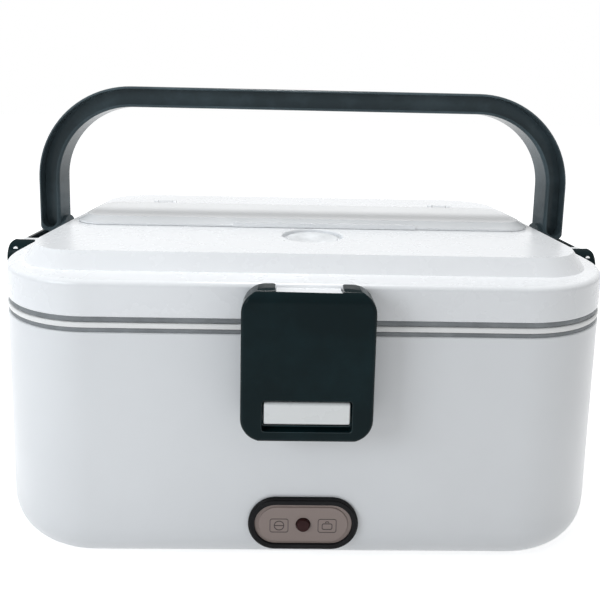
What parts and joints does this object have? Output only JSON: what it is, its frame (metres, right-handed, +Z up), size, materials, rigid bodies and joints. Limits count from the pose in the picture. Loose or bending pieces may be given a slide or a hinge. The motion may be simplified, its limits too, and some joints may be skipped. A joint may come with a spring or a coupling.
{
  "type": "electric lunch box",
  "caption": "Electric lunch box with a steel tray, a hinged lid held by three flap latches, a bail handle, a clear-covered cutlery well and a steam vent.",
  "frame": {"origin": "on the plane of the four feet, under the middle of the body", "axes": "+X to the right seen from the front latch, +Y from the front latch to the rear hinges, +Z up"},
  "size_m": [0.264, 0.1917, 0.1805],
  "materials": {
    "shell_white": "satin white ABS",
    "base_grey": "matt moulded underside",
    "foot_rubber": "matt black rubber",
    "screw_steel": "zinc plated",
    "liner_white": "white polypropylene",
    "tray_steel": "brushed stainless steel",
    "plate_aluminium": "mill finish",
    "heater_ceramic": "heater element in an insulating jacket",
    "clamp_steel": "folded strip",
    "sensor_black": "heat-proof moulding",
    "fuse_tan": "ceramic body",
    "shield_aluminium": "thin sheet",
    "pad_white": "glass-fibre pad",
    "board_green": "printed circuit board",
    "terminal_green": "moulded terminal block",
    "wire_red": "insulated wire",
    "bezel_black": "gloss black moulding",
    "fascia_taupe": "matt taupe insert",
    "lamp_dark": "dark diffused lamp, not lit",
    "inlet_black": "matt black moulding",
    "contact_brass": "turned pins",
    "pin_steel": "drawn wire",
    "lid_white": "satin white ABS",
    "seal_grey": "soft silicone",
    "clear_plastic": "clear moulded plastic",
    "vent_silicone": "pale silicone",
    "dark_gloss": "dark blue-grey gloss plastic",
    "button_white": "white gloss plastic"
  },
  "bodies": {
    "base": {"outer_shell": "shell_white", "bottom_cover": "base_grey", "rubber_feet": "foot_rubber", "base_screws": "screw_steel", "inner_liner": "liner_white", "steel_tray": "tray_steel", "heating_plate": "plate_aluminium", "heater_block": "heater_ceramic", "heater_clamp": "clamp_steel", "clamp_screws": "screw_steel", "thermostat": "sensor_black", "thermal_fuse": "fuse_tan", "heat_shield": "shield_aluminium", "shield_screws": "screw_steel", "insulation_pad": "pad_white", "circuit_board": "board_green", "terminal_block": "terminal_green", "board_screws": "screw_steel", "lead_wires": "wire_red", "lamp_bezel": "bezel_black", "lamp_fascia": "fascia_taupe", "indicator_lamp": "lamp_dark", "lamp_holder": "sensor_black", "power_inlet": "inlet_black", "inlet_contacts": "contact_brass", "rear_hinge_pins": "pin_steel"},
    "lid": {"lid_shell": "lid_white", "lid_inner_panel": "liner_white", "lid_seal": "seal_grey", "lid_screws": "screw_steel", "front_latch_pin": "pin_steel", "left_latch_pins": "pin_steel", "right_latch_pins": "pin_steel", "handle_pins": "pin_steel", "cover_hinge_pins": "pin_steel"},
    "handle": {"carry_handle": "dark_gloss"},
    "front_latch": {"front_latch": "dark_gloss"},
    "press_bar": {"press_bar": "button_white"},
    "left_latch": {"left_latch": "dark_gloss"},
    "right_latch": {"right_latch": "dark_gloss"},
    "cutlery_cover": {"cutlery_cover": "clear_plastic"},
    "vent_plug": {"vent_plug": "vent_silicone"}
  },
  "joints": [
    {"name": "lid_hinge", "type": "hinge", "parent": "base", "child": "lid", "pos_m": [0, 0.0905, 0.0975], "axis": [-1, 0, 0], "range_deg": [0, 100]},
    {"name": "handle_pivot", "type": "hinge", "parent": "lid", "child": "handle", "pos_m": [0, 0, 0.1092], "axis": [-1, 0, 0], "range_deg": [-50, 50]},
    {"name": "front_latch_hinge", "type": "hinge", "parent": "lid", "child": "front_latch", "pos_m": [0, -0.0926, 0.1084], "axis": [-1, 0, 0], "range_deg": [0, 100]},
    {"name": "left_latch_hinge", "type": "hinge", "parent": "lid", "child": "left_latch", "pos_m": [-0.1282, 0, 0.1076], "axis": [0, 1, 0], "range_deg": [0, 100]},
    {"name": "right_latch_hinge", "type": "hinge", "parent": "lid", "child": "right_latch", "pos_m": [0.1282, 0, 0.1076], "axis": [0, -1, 0], "range_deg": [0, 100]},
    {"name": "press_bar_slide", "type": "slide", "parent": "front_latch", "child": "press_bar", "axis": [0, 1, 0], "range_m": [0, 0.0015], "stiffness_N_per_m": 800},
    {"name": "cutlery_cover_hinge", "type": "hinge", "parent": "lid", "child": "cutlery_cover", "pos_m": [0, 0.0266, 0.1199], "axis": [-1, 0, 0], "range_deg": [0, 100]},
    {"name": "vent_plug_slide", "type": "slide", "parent": "lid", "child": "vent_plug", "axis": [0, 0, 1], "range_m": [0, 0.014]}
  ]
}
